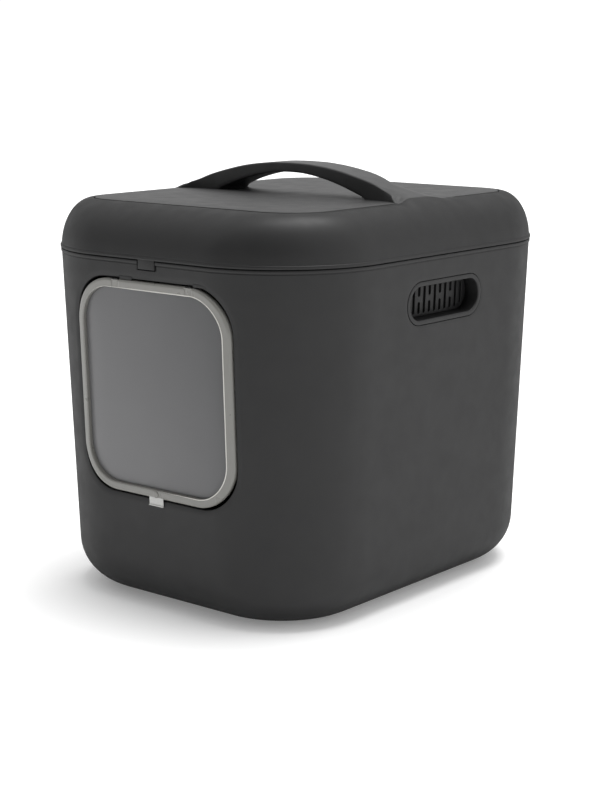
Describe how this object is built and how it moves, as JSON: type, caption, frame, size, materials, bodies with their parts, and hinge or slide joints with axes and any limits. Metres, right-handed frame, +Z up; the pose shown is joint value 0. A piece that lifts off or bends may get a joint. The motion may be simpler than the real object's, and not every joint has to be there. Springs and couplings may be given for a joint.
{
  "type": "cat litter box with hood",
  "caption": "Hooded cat litter box with a swinging front flap, lift-off rounded lid with an arched carrying handle and vented side grips.",
  "frame": {"origin": "centre of the underside, on the floor", "axes": "+Z up, -Y towards the flap at the front, +X to the right when facing the flap"},
  "size_m": [0.397, 0.4906, 0.4573],
  "materials": {
    "body_plastic": "fine satin grain, anthracite",
    "panel_plastic": "slightly coarser grain, anthracite",
    "frame_plastic": "satin warm grey",
    "smoked_pane": "smoked translucent plastic sheet",
    "latch_plastic": "satin off-white",
    "carbon_felt": "black carbon-loaded felt"
  },
  "bodies": {
    "tub": {"tub": "body_plastic", "grip_left": "body_plastic", "grip_right": "body_plastic", "filter_pad_left": "carbon_felt", "filter_pad_right": "carbon_felt"},
    "lid": {"lid": "body_plastic", "top_panel": "panel_plastic"},
    "flap": {"door_ring": "frame_plastic", "door_pane": "smoked_pane"},
    "latch": {"door_latch": "latch_plastic"},
    "cover_left": {"filter_cover_left": "body_plastic"},
    "cover_right": {"filter_cover_right": "body_plastic"}
  },
  "joints": [
    {"name": "lid_lift", "type": "slide", "parent": "tub", "child": "lid", "axis": [0, 0, 1], "range_m": [0, 0.15]},
    {"name": "flap_swing", "type": "hinge", "parent": "tub", "child": "flap", "pos_m": [0, -0.24197, 0.3443], "axis": [-1, 0, 0], "range_deg": [0, 85]},
    {"name": "latch_slide", "type": "slide", "parent": "flap", "child": "latch", "axis": [0, -0.0384, 0.9993], "range_m": [0, 0.0065]},
    {"name": "cover_left_pull", "type": "slide", "parent": "tub", "child": "cover_left", "axis": [0.9993, 0, 0.0384], "range_m": [0, 0.03]},
    {"name": "cover_right_pull", "type": "slide", "parent": "tub", "child": "cover_right", "axis": [-0.9993, 0, 0.0384], "range_m": [0, 0.03]}
  ]
}
